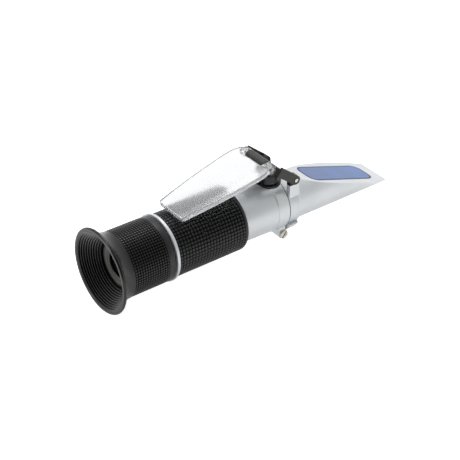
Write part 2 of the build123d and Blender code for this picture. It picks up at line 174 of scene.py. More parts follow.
def surface(tree, **inputs):
    """The surface shader with its inputs, linked to the material's output."""
    shader = add(tree, "ShaderNodeBsdfPrincipled", **inputs)
    add(tree, "ShaderNodeOutputMaterial", Surface=shader)


# %% [markdown]
# The eyecup and both sleeves are moulded black rubber. Its skin is not quite black, its gloss
# is low and uneven, and the mould leaves a fine grain that spreads the highlights along the
# rim and the knurls. One flat black would look like a hole in the picture, so a wide pattern
# moves the tone and a fine one makes the grain, a little coarser than the real one so that it
# shows. The sleeves have a rougher skin than the cup.

# %% Moulded rubber
def moulded_rubber(name, dark, light, rough, grain_mm, gloss):
    """Black rubber from a mould: nearly black, satin, with a fine grain."""
    material, tree, place = finish_named(name)
    cloud = add(tree, "ShaderNodeTexNoise", Vector=place, Scale=scale_of(9.0), Detail=3.0)
    grain = add(tree, "ShaderNodeTexNoise", Vector=place, Scale=scale_of(grain_mm), Detail=6.0)
    surface(
        tree,
        Base_Color=mottle(tree, cloud, dark, light),
        Roughness=add(tree, "ShaderNodeMapRange", Value=grain, To_Min=rough[0], To_Max=rough[1]),
        Normal=add(tree, "ShaderNodeBump", Height=grain, Distance=0.02 * MM, Strength=1.0),
        IOR=1.52,
        Specular_IOR_Level=gloss,
    )
    return material


eyecup_rubber = moulded_rubber(
    "moulded_rubber_eyecup", "#08090b", "#0e0f11", rough=(0.16, 0.26), grain_mm=0.35, gloss=0.42,
)
sleeve_rubber = moulded_rubber(
    "moulded_rubber_knurled", "#08090b", "#0d0e10", rough=(0.24, 0.36), grain_mm=0.3, gloss=0.5,
)

# %% [markdown]
# The body and the prism housing are metal castings with a satin silver-grey lacquer. The
# lacquer holds fine metal flakes, so it picks up the dark and bright sides of the room, and
# its spray leaves a faint orange peel. A full metal would look polished and a plain paint
# chalky, so the lacquer is half metallic. The two ears that stand above the housing's ring sit
# in the shade under the bracket, and that shade is painted on them as black. They belong to
# the housing's own mesh, so the painted shade starts at a height, and nothing has to be cut.

# %% Satin lacquer on the castings
def satin_lacquer(name, dark, light, black="#121314", shade_above=None):
    """Sprayed silver-grey lacquer: satin, half metallic, with black painted shade above a height if one is
    given.
    """
    material, tree, place = finish_named(name)
    cloud = add(tree, "ShaderNodeTexNoise", Vector=place, Scale=scale_of(14.0), Detail=3.0)
    peel = add(tree, "ShaderNodeTexNoise", Vector=place, Scale=scale_of(0.9), Detail=2.0)
    colour = mottle(tree, cloud, dark, light)
    # Above the given height the colour turns black: painted shade for the ears under the bracket.
    if shade_above is not None:
        height = add(tree, "ShaderNodeSeparateXYZ", Vector=place).outputs["Z"]
        ear_shade_mask = add(tree, "ShaderNodeMath", {"operation": "GREATER_THAN"}, _0=height, _1=shade_above)
        colour = add(tree, "ShaderNodeMixRGB", Fac=ear_shade_mask, Color1=colour, Color2=paint(black))
    surface(
        tree,
        Base_Color=colour,
        Roughness=add(tree, "ShaderNodeMapRange", Value=peel, To_Min=0.27, To_Max=0.33),
        Normal=add(tree, "ShaderNodeBump", Height=peel, Distance=0.004 * MM, Strength=1.0),
        Metallic=0.5,
        IOR=1.5,
    )
    return material


# The housing's ears above this height get black painted shade, for the shade under the bracket.
ear_shade_height = 13.4 * MM
body_lacquer = satin_lacquer("sprayed_satin_lacquer", "#dbdfe2", "#e4e7e9")
housing_lacquer = satin_lacquer(
    "sprayed_satin_lacquer_painted_ear_shade", "#dbdfe2", "#e4e7e9", shade_above=ear_shade_height,
)

# %% [markdown]
# Inside, everything near the light path is anodised black so that it doesn't glare. Turned
# aluminium keeps fine rings from the lathe, which show as a faint circular sheen round the
# lens. They could be cut into the mesh, but they are finer than a hair, so a wave pattern
# draws them, further apart than a lathe leaves them so that they show. The wave is read from
# Y and Z alone, which makes its spheres into rings round the optical axis. Blender's wave runs
# through 20 radians for each unit, and that gives the distance between two rings.

# %% Anodised aluminium
wave_radians = 20
wave_spacing = 2 * math.pi / wave_radians


def turned_anodised(name, dark, light, ring_mm):
    """Anodised aluminium with rings from the lathe, ring_mm apart."""
    material, tree, place = finish_named(name)
    parted = add(tree, "ShaderNodeSeparateXYZ", Vector=place)
    flat = add(tree, "ShaderNodeCombineXYZ", Y=parted.outputs["Y"], Z=parted.outputs["Z"])
    rings = add(
        tree, "ShaderNodeTexWave", {"wave_type": "RINGS", "rings_direction": "SPHERICAL"},
        Vector=flat, Scale=wave_spacing * scale_of(ring_mm), Distortion=0.4,
    ).outputs["Fac"]
    surface(
        tree,
        Base_Color=mottle(tree, rings, dark, light, start=0.2, end=0.8),
        Roughness=add(tree, "ShaderNodeMapRange", Value=rings, To_Min=0.34, To_Max=0.44),
        Metallic=0.7,
    )
    return material


black_anodised = turned_anodised("anodised_aluminium_black", "#3a3b3c", "#454647", ring_mm=3.14)
retainer_anodised = turned_anodised("anodised_aluminium_grey", "#6a6a68", "#7a7a77", ring_mm=2.51)

# %% [markdown]
# The bracket is pressed steel with a textured black coating that looks dark olive in the
# light. Its skin is a layer of small pebbles. Noise would make clouds, so the cells of a
# Voronoi pattern stand for the pebbles, and their distance gives tone, gloss and relief.

# %% Powder coat on the bracket
def textured_coat(name, dark, light, pebble_mm):
    """Black textured powder coat on pressed steel: a hard, pebbled skin."""
    material, tree, place = finish_named(name)
    pebbles = add(tree, "ShaderNodeTexVoronoi", Vector=place, Scale=scale_of(pebble_mm))
    surface(
        tree,
        Base_Color=mottle(tree, pebbles, dark, light, start=0.0, end=0.8),
        Roughness=add(tree, "ShaderNodeMapRange", Value=pebbles, To_Min=0.38, To_Max=0.5),
        Normal=add(tree, "ShaderNodeBump", Height=pebbles, Distance=0.05 * MM, Strength=1.0),
    )
    return material


bracket_coat = textured_coat("powder_coat_black_olive", "#171714", "#2c2c27", pebble_mm=0.45)

# %% [markdown]
# The calibration knob is moulded ABS: an even black with a slight sheen. The gasket is rubber
# cut from a sheet, with the same fine grain and hardly any gloss, so it shares the function
# and only gets a rougher surface.

# %% Moulded plastic and gasket rubber
def moulded_plastic(name, dark, light, rough):
    """Moulded ABS or cut sheet: an even colour over a very fine grain."""
    material, tree, place = finish_named(name)
    grain = add(tree, "ShaderNodeTexNoise", Vector=place, Scale=scale_of(0.5), Detail=4.0)
    surface(
        tree,
        Base_Color=mottle(tree, grain, dark, light),
        Roughness=add(tree, "ShaderNodeMapRange", Value=grain, To_Min=rough[0], To_Max=rough[1]),
        Normal=add(tree, "ShaderNodeBump", Height=grain, Distance=0.01 * MM, Strength=1.0),
    )
    return material


knob_plastic = moulded_plastic("moulded_abs_black", "#070808", "#0d0e0f", rough=(0.22, 0.34))
gasket_rubber = moulded_plastic("die_cut_gasket_rubber", "#0a0b0d", "#141517", rough=(0.5, 0.65))

# %% [markdown]
# The clamp screw and the hinge pins are nickel plated, which has a warm tone, and the hidden
# pin and screw are plain turned steel. Both are full metals. Handling leaves small clouds of
# tone on them, and without those a pin this small would look like a white dot.

# %% Nickel and steel
def plated_metal(name, dark, light, rough):
    """Nickel or steel: fully metallic, with small clouds of tone from handling."""
    material, tree, place = finish_named(name)
    cloud = add(tree, "ShaderNodeTexNoise", Vector=place, Scale=scale_of(1.2), Detail=3.0)
    surface(
        tree,
        Base_Color=mottle(tree, cloud, dark, light),
        Roughness=add(tree, "ShaderNodeMapRange", Value=cloud, To_Min=rough[0], To_Max=rough[1]),
        Metallic=1.0,
    )
    return material


nickel = plated_metal("nickel_plate", "#a89f92", "#f0ebe2", rough=(0.12, 0.24))
steel = plated_metal("turned_steel", "#9b9d9f", "#b6b8ba", rough=(0.2, 0.32))

# %% [markdown]
# The lenses are polished glass with a faint haze, because no lens in use is quite clean. The
# daylight plate is clear plastic with a fine matt skin, so that it spreads the light over the
# prism. It could be a mix of a glass and a matt shader. Here one shader does both: most light
# passes through its rough surface, and the rest stays on it as white haze.

# %% Lens glass and frosted plastic
def polished_glass(name, tint, haze):
    """Clear polished glass with a slight tint and up to a little haze."""
    material, tree, place = finish_named(name)
    cloud = add(tree, "ShaderNodeTexNoise", Vector=place, Scale=scale_of(6.0), Detail=3.0)
    surface(
        tree,
        Base_Color=paint(tint),
        Roughness=add(tree, "ShaderNodeMapRange", Value=cloud, To_Min=0.0, To_Max=haze),
        IOR=1.52,
        Transmission_Weight=1.0,
    )
    return material


def frosted_plastic(name, tint, clear, rough):
    """Clear plastic with a fine matt skin; clear is the share of the light that passes."""
    material, tree, place = finish_named(name)
    grain = add(tree, "ShaderNodeTexNoise", Vector=place, Scale=scale_of(0.35), Detail=4.0)
    surface(
        tree,
        Base_Color=paint(tint),
        Roughness=add(tree, "ShaderNodeMapRange", Value=grain, To_Min=rough[0], To_Max=rough[1]),
        Transmission_Weight=add(tree, "ShaderNodeMapRange", Value=grain, To_Min=clear[0], To_Max=clear[1]),
        IOR=1.49,
    )
    return material


lens_glass = polished_glass("polished_lens_glass", "#e8f2f0", haze=0.02)
plate_plastic = frosted_plastic("frosted_acrylic", "#f3f4f6", clear=(0.84, 0.88), rough=(0.20, 0.24))

# %% [markdown]
# The prism fills a rounded window in the sloping face. It looks blue, with a darker rim where
# it sits in its cement. Real glass over a dark bed would need many light paths to look smooth,
# so the blue is painted under a gloss. The rim has to follow the window's outline, which is a
# rectangle with round corners. So the window's place and size are read from the frame first: its centre, its
# half sizes along the slope, and how far its straight edges reach before the corners begin.

# %% Prism window
face_slope = math.radians(18.5)
window_corner = 4.4 * MM
rim_width = 0.8 * MM
rim_fade = 0.2 * rim_width

window_low, window_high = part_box("prism")
window_half_length = (window_high.x - window_low.x) / math.cos(face_slope) / 2
window_half_width = (window_high.y - window_low.y) / 2
window_straight = (window_half_length - window_corner, window_half_width - window_corner, 0)
window_centre = (
    (window_low.x + window_high.x) / 2,
    0,
    window_high.z - window_half_length * math.sin(face_slope),
)
print("prism window", round(window_half_length * 2, 4), "by", round(window_half_width * 2, 4))

# %% [markdown]
# The distance from a round corner's centre says where the rim is. The pattern is moved to the
# window's centre and turned into its slope, mirrored into one quarter, and the straight
# stretch is taken off. What is left is the corner, and its length grows towards the edge.

# %% Tinted prism with its rim
def tinted_prism(name, dark, light, rim):
    """Glossy blue glass with a dark blue rim that follows the window's rounded outline."""
    material, tree, place = finish_named(name)
    vector = "ShaderNodeVectorMath"
    moved = add(tree, vector, {"operation": "SUBTRACT"}, _0=place, _1=window_centre)
    flat = add(tree, "ShaderNodeVectorRotate", {"rotation_type": "Y_AXIS"}, Vector=moved, Angle=-face_slope)
    quarter = add(tree, vector, {"operation": "ABSOLUTE"}, _0=flat)
    beyond = add(tree, vector, {"operation": "SUBTRACT"}, _0=quarter, _1=window_straight)
    corner = add(tree, vector, {"operation": "MAXIMUM"}, _0=beyond, _1=(0, 0, 0))
    planar = add(tree, vector, {"operation": "MULTIPLY"}, _0=corner, _1=(1, 1, 0))
    reach = add(tree, vector, {"operation": "LENGTH"}, _0=planar).outputs["Value"]
    rim_start = window_corner - rim_width
    on_rim = add(
        tree, "ShaderNodeMapRange", Value=reach, From_Min=rim_start - rim_fade, From_Max=rim_start + rim_fade,
    )
    cloud = add(tree, "ShaderNodeTexNoise", Vector=place, Scale=scale_of(18.0), Detail=1.0)
    glass = mottle(tree, cloud, dark, light, start=0.2, end=0.8)
    surface(
        tree,
        Base_Color=add(tree, "ShaderNodeMixRGB", Fac=on_rim, Color1=glass, Color2=paint(rim)),
        Roughness=add(tree, "ShaderNodeMapRange", Value=cloud, To_Min=0.1, To_Max=0.16),
        IOR=1.5,
    )
    return material


prism_glass = tinted_prism("tinted_prism_glass", "#50699a", "#4a7cc0", rim="#0a1f70")

# %% [markdown]
# The cement is the dark blue line round the prism. It has cured to a hard gloss, and it is
# seen only as a thin line, so clouds of tone are all the detail that it needs.

# %% Prism cement
def glossy_cement(name, dark, light):
    """The dark blue line of cured cement round the prism."""
    material, tree, place = finish_named(name)
    cloud = add(tree, "ShaderNodeTexNoise", Vector=place, Scale=scale_of(2.0), Detail=3.0)
    surface(
        tree,
        Base_Color=mottle(tree, cloud, dark, light),
        Roughness=add(tree, "ShaderNodeMapRange", Value=cloud, To_Min=0.2, To_Max=0.3),
    )
    return material


prism_cement = glossy_cement("cured_cement_blue", "#0a1a58", "#13297a")

# %% [markdown]
# A CAD node keeps its own mesh. Its finish is changed by putting a material in its first
# slot. The table says which finish each node gets, so that no piece is forgotten.

# %% Finishes for the CAD nodes
finishes = {
    body_lacquer: ["body_tube"],
    housing_lacquer: ["prism_housing"],
    eyecup_rubber: ["eyecup"],
    sleeve_rubber: ["focus_grip", "main_grip"],
    black_anodised: [
        "focus_ring", "lens_tube", "lens_spacer", "reticle_ring",
        "reticle_mount", "light_baffle", "objective_cell",
    ],
    retainer_anodised: ["lens_retaining_ring"],
    lens_glass: ["ocular_lens", "field_lens", "reticle", "objective_lens"],
    gasket_rubber: ["seam_gasket"],
    prism_glass: ["prism"],
    prism_cement: ["prism_seal"],
    nickel: ["clamp_screw", "hinge_pin_near", "hinge_pin_far", "plate_pin"],
    steel: ["guide_pin", "calibration_screw"],
    knob_plastic: ["calibration_knob"],
    bracket_coat: ["hinge_bracket"],
    plate_plastic: ["daylight_plate"],
}
for material, names in finishes.items():
    for name in names:
        nodes[name].data.materials.clear()
        nodes[name].data.materials.append(material)
print("finished", sum(len(names) for names in finishes.values()), "nodes")

# %% [markdown]
# Most pieces of this tool were turned or moulded round one axis. Blender's spin would turn a
# whole profile in one go. Here such a piece starts as a circle that stands across its axis, and
# its edge is extruded ring by ring: each new ring is scaled and moved to the next corner of
# the profile. That way a sleeve can stop halfway, raise its pads and go on from its last ring.
# The circle is made one metre in radius and then scaled down, which serves the large rings and
# the ones that are almost a point alike.

# %% Start a turned piece and let it grow
ALONG_X = Vector((1, 0, 0))
ALONG_Z = Vector((0, 0, 1))
FACING_X = (0, math.pi / 2, 0)
FACING_Y = (math.pi / 2, 0, 0)
FACING_Z = (0, 0, 0)


def start_ring(name, radius, place, facing, sides, fill="NOTHING"):
    """A circle that faces along an axis, in edit mode and selected, ready to be extruded."""
    bpy.ops.object.select_all(action="DESELECT")
    bpy.ops.mesh.primitive_circle_add(vertices=sides, radius=1.0, fill_type=fill, rotation=facing)
    piece = bpy.context.object
    piece.name = name
    bpy.ops.object.transform_apply(location=True, rotation=True, scale=True)
    bpy.ops.object.mode_set(mode="EDIT")
    bpy.ops.mesh.select_all(action="SELECT")
    bpy.ops.transform.resize(value=(radius, radius, radius), center_override=(0, 0, 0))
    bpy.ops.transform.translate(value=place)
    return piece


def grow(rings, along=ALONG_X, centre=(0, 0, 0)):
    """Extrudes the selected ring through (distance, radius) rings; it stands at the first one."""
    distance, radius = rings[0]
    for next_distance, next_radius in rings[1:]:
        factor = next_radius / radius
        across = [1 if part else factor for part in along]
        bpy.ops.mesh.extrude_region_move()
        bpy.ops.transform.resize(value=across, center_override=centre)
        bpy.ops.transform.translate(value=along * (next_distance - distance))
        distance, radius = next_distance, next_radius


# %% [markdown]
# Three more helpers are shared by the pieces. When a piece is done, rings that ended on each
# other are merged and the faces are turned outwards. A test picks vertices by their place,
# which is how an operator is told where to work. An arc gives the points of a round corner.

# %% Finish a piece, pick its vertices, round a corner
WELD = 0.002 * MM


def close_piece(piece, smooth_angle):
    """Merges the doubled rings, turns the faces outwards and smooths the round stretches."""
    bpy.ops.mesh.select_all(action="SELECT")
    bpy.ops.mesh.remove_doubles(threshold=WELD)
    bpy.ops.mesh.normals_make_consistent(inside=False)
    bpy.ops.object.mode_set(mode="OBJECT")
    bpy.ops.object.shade_smooth_by_angle(angle=math.radians(smooth_angle))
    print(piece.name, "faces", len(piece.data.polygons))
    return piece


def select_where(piece, test):
    """Selects only the vertices of a piece whose place passes a test, and stays in edit mode."""
    bpy.ops.mesh.select_mode(type="VERT")
    bpy.ops.mesh.select_all(action="DESELECT")
    bpy.ops.object.mode_set(mode="OBJECT")
    for vertex in piece.data.vertices:
        vertex.select = test(vertex.co)
    bpy.ops.object.mode_set(mode="EDIT")


def arc(centre_x, centre_radius, size, start, end, steps):
    """Points of a round corner in the profile, by angle in degrees from the +X direction."""
    turns = [math.radians(start + (end - start) * step / steps) for step in range(steps + 1)]
    return [(centre_x + size * math.cos(turn), centre_radius + size * math.sin(turn)) for turn in turns]


# %% [markdown]
# The eyecup is one soft moulding: a rounded lip, a hollow flare outside and fine steps inside
# that catch stray light. It could be a cone with a bump map, but the steps show in outline
# against the light, so they are real. The profile is walked round once, as (x, radius)
# corners. First come the steps, from the throat out to the mouth. Each rises to a crest and
# falls back to a foot, so that a shadow lies between it and the next.

# %% Steps inside the eyecup
rim_radius = outer_radius("eyecup")
mouth_radius = rim_radius - 2.1 * MM
throat_radius = 11.05 * MM
throat_x = 9.3 * MM
deepest_step_x = 8.8 * MM
front_step_x = 0.5 * MM
step_count = 10
step_curve = 0.92
crest_run, crest_rise = 0.1, 0.75
foot_run, foot_rise = 0.85, 0.45


def eyecup_steps():
    """The corners of the steps, from the deepest to the one at the mouth."""
    run = (deepest_step_x - front_step_x) / step_count
    rise = (mouth_radius - throat_radius) / step_count
    corners = []
    for step in range(step_count):
        x = deepest_step_x - run * step
        radius = throat_radius + (mouth_radius - throat_radius) * (step / step_count) ** step_curve
        crest = (x - crest_run * run, radius + crest_rise * rise)
        foot = (x - foot_run * run, radius + foot_rise * rise)
        corners += [(x, radius), crest, foot]
    return corners


# %% [markdown]
# The lip is round on both sides. Behind it the flare falls in a hollow curve to the neck,
# which meets the front of the focusing sleeve. The skirt then reaches on under the sleeve and
# comes back along the bore to the throat.

# %% Eyecup
lip_rounding = 0.7 * MM
lip_width = 1.5 * MM
lip_front = (0.15 * MM, mouth_radius + 0.4 * MM)
flare_start = (1.75 * MM, rim_radius - 1.6 * MM)
flare_end = (sleeve_start, 15.5 * MM)
flare_steps = 10
flare_curve = 0.85
skirt_radius = 14.1 * MM
skirt_bore = 13.05 * MM


def eyecup_flare():
    """The hollow outside of the cup, from behind the lip to the neck."""
    corners = []
    for step in range(flare_steps + 1):
        share = step / flare_steps
        drop = math.sin(share * math.pi / 2) ** flare_curve
        x = flare_start[0] + (flare_end[0] - flare_start[0]) * share
        corners.append((x, flare_start[1] + (flare_end[1] - flare_start[1]) * drop))
    return corners


throat = (throat_x, throat_radius)
lip_centre = rim_radius - lip_rounding
profile = [throat] + eyecup_steps() + [(front_step_x, mouth_radius), lip_front]
profile += arc(lip_rounding, lip_centre, lip_rounding, 180, 90, 5)
profile += arc(lip_width - lip_rounding, lip_centre, lip_rounding, 90, 20, 4)
profile += eyecup_flare()
profile += [(sleeve_start, skirt_radius), (eyecup_end, skirt_radius), (eyecup_end, skirt_bore)]
profile += [(throat_x, skirt_bore), throat]

eyecup_piece = start_ring("eyecup_moulding", throat_radius, (throat_x, 0, 0), FACING_X, sides=128)
grow(profile)
close_piece(eyecup_piece, smooth_angle=32)
eyecup_piece.data.materials.append(eyecup_rubber)
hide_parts("eyecup")
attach(eyecup_piece, "focus")

# %% [markdown]
# Both rubber sleeves have a square knurl: rows of small pads with grooves between them. A bump
# map would leave the sleeve's outline smooth, so the pads are modelled. Each pad is one quad
# of a tube, inset by itself and raised in the same step, with as many quads round as the pitch
# asks for. The sleeve then carries on as plain rings: a smooth band, a rounded end, and the
# bore back to the start. The pads are a little coarser than on the real rubber, so that they
# show at the size of the picture. To go on after the pads, the tube's last ring is picked by
# its place, with a margin so small that no pad falls inside it.

# %% Knurled sleeves
band_shoulder = 0.1 * MM
lead_corner = 0.15 * MM
lead_groove = 0.05 * MM
pick_margin = 0.01 * MM


def knurled_sleeve(name, start, end, radius, bore, pitch, band, rounding, pad_height, pad_gap, lead):
    """A rubber tube with square pads from a short plain lead-in to a smooth band at its end."""
    root = radius - pad_height
    around = round(2 * math.pi * radius / pitch)
    knurl_start = start + lead
    knurl_end = end - band
    rows = round((knurl_end - knurl_start) / pitch)
    step = (knurl_end - knurl_start) / rows
    piece = start_ring(name, root, (knurl_start, 0, 0), FACING_X, around)
    grow([(knurl_start + step * row, root) for row in range(rows + 1)])
    bpy.ops.mesh.select_mode(type="FACE")
    bpy.ops.mesh.select_all(action="SELECT")
    bpy.ops.mesh.normals_make_consistent(inside=False)
    bpy.ops.mesh.inset(thickness=pad_gap / 2, depth=pad_height, use_individual=True, use_even_offset=True)
    nearest_x, widest = knurl_end - pick_margin, root + pick_margin
    select_where(piece, lambda co: co.x > nearest_x and math.hypot(co.y, co.z) < widest)
    band_start = (knurl_end + band_shoulder, radius - band_shoulder)
    band_end = arc(end - rounding, radius - rounding, rounding, 90, 0, 5)
    lead_start = (start, radius - lead_corner)
    lead_end = knurl_start - lead_groove
    grow([(knurl_end, root), band_start] + band_end + [(end, bore), (start, bore)])
    grow([(start, bore), lead_start, (start + lead_corner, radius), (lead_end, radius), (knurl_start, root)])
    close_piece(piece, smooth_angle=30)
    piece.data.materials.append(sleeve_rubber)
    return piece


# %% [markdown]
# The focusing sleeve is turned with two fingers and has a finer knurl and a wide band. The
# grip is held in the fist, so its pads are larger and its end is rounder.

# %% Focusing sleeve and grip
focus_sleeve = knurled_sleeve(
    "focus_sleeve_knurled", sleeve_start, sleeve_end, outer_radius("focus_grip"), bore=14.25 * MM,
    pitch=1.26 * MM, band=3.6 * MM, rounding=1.1 * MM, pad_height=0.5 * MM, pad_gap=0.5 * MM, lead=0.3 * MM,
)
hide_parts("focus_grip")
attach(focus_sleeve, "focus")

grip_sleeve = knurled_sleeve(
    "grip_sleeve_knurled", grip_start, grip_end, outer_radius("main_grip"), bore=12.65 * MM,
    pitch=1.65 * MM, band=2.2 * MM, rounding=1.4 * MM, pad_height=0.5 * MM, pad_gap=0.62 * MM, lead=0.4 * MM,
)
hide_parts("main_grip")
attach(grip_sleeve, "barrel")

# %% [markdown]
# The calibration knob is a small upright moulding: a wide foot, a thin groove and a plain
# drum with a rounded top. A bevelled cylinder would miss the groove and the foot's two
# different edges. So the knob grows like the eyecup, but straight upwards and from a filled
# circle, which stays behind as its bottom and rises as its top.

# %% Calibration knob
knob_low, knob_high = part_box("calibration_knob")
knob_x = (knob_low.x + knob_high.x) / 2
knob_height = knob_high.z - knob_low.z
foot_radius = outer_radius("calibration_knob")
foot_height = 1.5 * MM
foot_lower_edge = 0.2 * MM
foot_upper_edge = 0.3 * MM
drum_radius = foot_radius - 0.6 * MM
groove_radius = drum_radius - 0.3 * MM
groove_top = foot_height + 0.3 * MM
drum_start = foot_height + 0.5 * MM
crown = 0.8 * MM
crown_shoulder = (knob_height - 0.3 * MM, drum_radius - 0.2 * MM)
knob_rings = [
    (0, foot_radius - foot_lower_edge),
    (foot_lower_edge, foot_radius),
    (foot_height - foot_upper_edge, foot_radius),
    (foot_height, foot_radius - foot_upper_edge),
    (foot_height, groove_radius),
    (groove_top, groove_radius),
    (drum_start, drum_radius),
    (knob_height - crown, drum_radius),
    crown_shoulder,
    (knob_height, drum_radius - crown),
]
knob_floor = (knob_x, 0, knob_low.z)
knob_piece = start_ring("knob_moulding", knob_rings[0][1], knob_floor, FACING_Z, sides=96, fill="NGON")
grow(knob_rings, along=ALONG_Z, centre=knob_floor)
close_piece(knob_piece, smooth_angle=35)
knob_piece.data.materials.append(knob_plastic)
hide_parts("calibration_knob")
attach(knob_piece, "knob")

# %% [markdown]
# The daylight plate is a clear moulding with a softly curved outline, rounded edges and two
# ears that close over the ends of its pin. A slab with a bevel would do for its edges, but not
# for its outline, so the plate is built from its outline. Places along it are counted from its
# pivot, which is the middle of the pin, and its free end is at minus its length. Its width
# follows two curves that meet where it is widest.

# %% Daylight plate sizes
pin_low, pin_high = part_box("plate_pin")
plate_pivot = Vector(((pin_low.x + pin_high.x) / 2, 0, (pin_low.z + pin_high.z) / 2))
plate_slope = math.radians(12.45)
along_plate = Vector((math.cos(plate_slope), 0, math.sin(plate_slope)))
off_plate = Vector((-math.sin(plate_slope), 0, math.cos(plate_slope)))
plate_length = 49.1 * MM
plate_thickness = 2.2 * MM
plate_corner = 1.6 * MM
plate_edge = 0.4 * MM
ear_radius = 2.6 * MM
notch_half = 6.65 * MM
notch_share = 0.54
notch_place = -3.1 * MM
widest_place = -6.1 * MM
widest_half = 12.9 * MM
tip_narrowing, tip_curve = 4.1 * MM, 1.71
ear_narrowing, ear_curve = 2.1 * MM, 2


def plate_half_width(place):
    """Half the plate's width at a place along it, from minus its length to 0 at the pivot."""
    if place < widest_place:
        share = (widest_place - place) / (plate_length + widest_place)
        return widest_half - tip_narrowing * share ** tip_curve
    share = (place - widest_place) / -widest_place
    return widest_half - ear_narrowing * share ** ear_curve


print("plate pivot", tuple(round(v, 4) for v in plate_pivot))

# %% [markdown]
# The sheet starts as a row of four points across the free end: its two edges, and the two
# sides that the notch will have. Blender has no row of points, so a grid of one by three is
# added, a metre wide, and its far side is deleted. Its inner points lie at a third of its half
# width and are moved out to the notch's share of it. The row is then extruded along the slope,
# place by place, and scaled to the outline. The round corners at the free end are rows that
# lie closer together.

# %% Rows of the plate
GRID = 1.0
corner_steps = 5
rows_from_mm = -45
rows_before_mm = -3
row_spacing_mm = 3


def plate_rows():
    """The rows of the sheet from its free end to the notch, as (place, half width)."""
    corner_half = plate_half_width(plate_corner - plate_length)
    rows = []
    for step in range(corner_steps + 1):
        turn = math.radians(90 * step / corner_steps)
        place = plate_corner * (1 - math.cos(turn)) - plate_length
        rows.append((place, corner_half - plate_corner * (1 - math.sin(turn))))
    even_rows = range(rows_from_mm, rows_before_mm, row_spacing_mm)
    places = [place_mm * MM for place_mm in even_rows] + [notch_place]
    return rows + [(place, plate_half_width(place)) for place in places]


def start_row(name, place, half):
    """A row of four points across the plate at a place, in edit mode and selected."""
    bpy.ops.object.select_all(action="DESELECT")
    bpy.ops.mesh.primitive_grid_add(x_subdivisions=1, y_subdivisions=3, size=GRID)
    sheet = bpy.context.object
    sheet.name = name
    bpy.ops.object.mode_set(mode="EDIT")
    select_where(sheet, lambda co: co.x > 0)
    bpy.ops.mesh.delete(type="VERT")
    select_where(sheet, lambda co: abs(co.y) < GRID / 4)
    bpy.ops.transform.resize(value=(1, 3 * notch_share, 1), center_override=(0, 0, 0))
    bpy.ops.mesh.select_all(action="SELECT")
    bpy.ops.transform.resize(value=(1, 2 * half / GRID, 1), center_override=(0, 0, 0))
    under_side = plate_pivot + off_plate * (ear_radius - plate_thickness)
    bpy.ops.transform.translate(value=under_side + along_plate * place + ALONG_X * GRID / 2)
    return sheet


def extend_row(rows, side=1, fixed=0.0):
    """Extrudes the selected row through (place, half width) rows and keeps one line of it fixed."""
    place, half = rows[0]
    for next_place, next_half in rows[1:]:
        factor = (next_half - fixed) / (half - fixed)
        bpy.ops.mesh.extrude_region_move()
        bpy.ops.transform.resize(value=(1, factor, 1), center_override=(0, side * fixed, 0))
        bpy.ops.transform.translate(value=along_plate * (next_place - place))
        place, half = next_place, next_half


# %% [markdown]
# At the notch only the two outer edges of the last row are extruded on, one at a time, so that
# the middle stays open for the bracket's knuckle. The flat sheet is then extruded once more,
# upwards, to its thickness, and its sharp edges are bevelled.

# %% Sheet of the plate
tab_places = (notch_place, -2.1 * MM, -1.1 * MM, 0)
row_margin = 0.3 * MM


def select_edges(piece, test):
    """Selects only the edges of a piece whose two ends pass a test, and stays in edit mode."""
    bpy.ops.mesh.select_mode(type="EDGE")
    bpy.ops.mesh.select_all(action="DESELECT")
    bpy.ops.object.mode_set(mode="OBJECT")
    points = piece.data.vertices
    for edge in piece.data.edges:
        ends = [points[number].co for number in edge.vertices]
        edge.select = test(*ends)
    bpy.ops.object.mode_set(mode="EDIT")


def plate_sheet():
    """The flat part of the plate, with its notch and rounded edges."""
    rows = plate_rows()
    sheet = start_row("plate_moulding", *rows[0])
    extend_row(rows)
    last_row_x = (plate_pivot + along_plate * notch_place).x - row_margin
    notch_side = plate_half_width(notch_place) * notch_share
    tab_rows = [(place, plate_half_width(place)) for place in tab_places]
    for side in (-1, 1):
        select_edges(sheet, lambda a, b: min(a.x, b.x) > last_row_x and min(a.y * side, b.y * side) > 0)
        extend_row(tab_rows, side, notch_side)
    bpy.ops.mesh.select_all(action="SELECT")
    bpy.ops.mesh.extrude_region_move()
    bpy.ops.transform.translate(value=off_plate * plate_thickness)
    bpy.ops.mesh.select_all(action="SELECT")
    bpy.ops.mesh.remove_doubles(threshold=WELD)
    bpy.ops.mesh.normals_make_consistent(inside=False)
    bpy.ops.mesh.select_mode(type="EDGE")
    bpy.ops.mesh.select_all(action="DESELECT")
    bpy.ops.mesh.edges_select_sharp(sharpness=math.radians(60))
    bpy.ops.mesh.bevel(offset=plate_edge, segments=3, affect="EDGES")
    bpy.ops.object.mode_set(mode="OBJECT")
    return sheet


# %% [markdown]
# Each ear is a short round boss across the plate. It grows like the knob, but sideways, from a
# ring so small that it closes when doubled points are merged. Both ears are joined to the
# sheet with a boolean, and a rod then cuts one blind bore for the pin through both. Cutting
# last matters: an ear that had its own bore would be filled again by the sheet.

# %% Ears of the plate
point = 0.0005 * MM
ear_end = 10.8 * MM
ear_edge = 0.3 * MM
ear_rounding = 1.2 * MM
ear_turns = (0.5, 1.0, math.pi / 2)


def plate_ear(side):
    """One ear of the plate, closed at both ends and round at the outer one."""
    rings = [(notch_half, point), (notch_half, ear_radius - ear_edge), (notch_half + ear_edge, ear_radius)]
    rings.append((ear_end - ear_rounding, ear_radius))
    for turn in ear_turns:
        across = ear_end - ear_rounding * (1 - math.sin(turn))
        rings.append((across, ear_radius - ear_rounding * (1 - math.cos(turn))))
    rings.append((ear_end, point))
    start = (plate_pivot.x, side * notch_half, plate_pivot.z)
    ear = start_ring("plate_ear", point, start, FACING_Y, sides=64)
    grow(rings, along=Vector((0, side, 0)), centre=plate_pivot)
    return close_piece(ear, smooth_angle=30)


